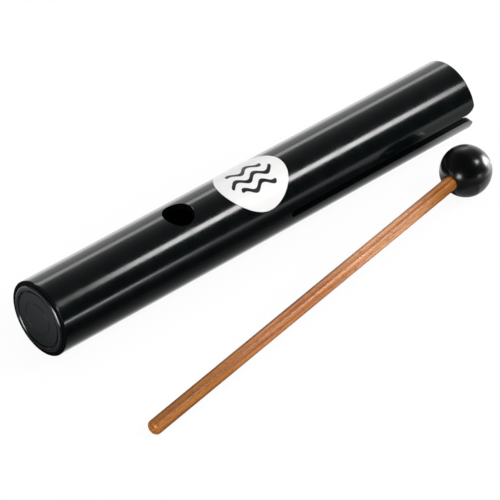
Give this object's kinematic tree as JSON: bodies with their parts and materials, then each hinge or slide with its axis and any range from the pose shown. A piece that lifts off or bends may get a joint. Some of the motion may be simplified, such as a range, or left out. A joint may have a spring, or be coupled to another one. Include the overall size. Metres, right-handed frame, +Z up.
{
  "type": "wah-wah tube",
  "caption": "Metal tube with a plugged end, a thumb hole and long side slots that leave struck tongues, with a wooden ball mallet beside it.",
  "frame": {"origin": "middle of the floor under the tube and its mallet together, at the height they lie on", "axes": "+X along the tube from its plugged end to its open, slotted end; +Z up; the mallet lies on the -Y side"},
  "size_m": [0.2844, 0.1104, 0.0415],
  "materials": {
    "black_aluminium": "black coated, satin gloss",
    "plug_plastic": "moulded, satin",
    "disc_plastic": "moulded, fine matt",
    "label_vinyl": "printed white vinyl",
    "stick_hardwood": "turned, thin clear finish",
    "head_rubber": "moulded, glossy"
  },
  "bodies": {
    "tube": {"resonator_tube": "black_aluminium", "label": "label_vinyl"},
    "end_cap": {"end_plug": "plug_plastic", "plug_disc": "disc_plastic"},
    "mallet": {"mallet_stick": "stick_hardwood", "mallet_head": "head_rubber"}
  },
  "joints": [
    {"name": "plug_pull", "type": "slide", "parent": "tube", "child": "end_cap", "axis": [-1, 0, 0], "range_m": [0, 0.03]},
    {"name": "mallet_swing", "type": "hinge", "parent": "tube", "child": "mallet", "pos_m": [-0.11746, -0.04786, 0.00489], "axis": [0, 0, 1], "range_deg": [-25, 3.4]}
  ]
}
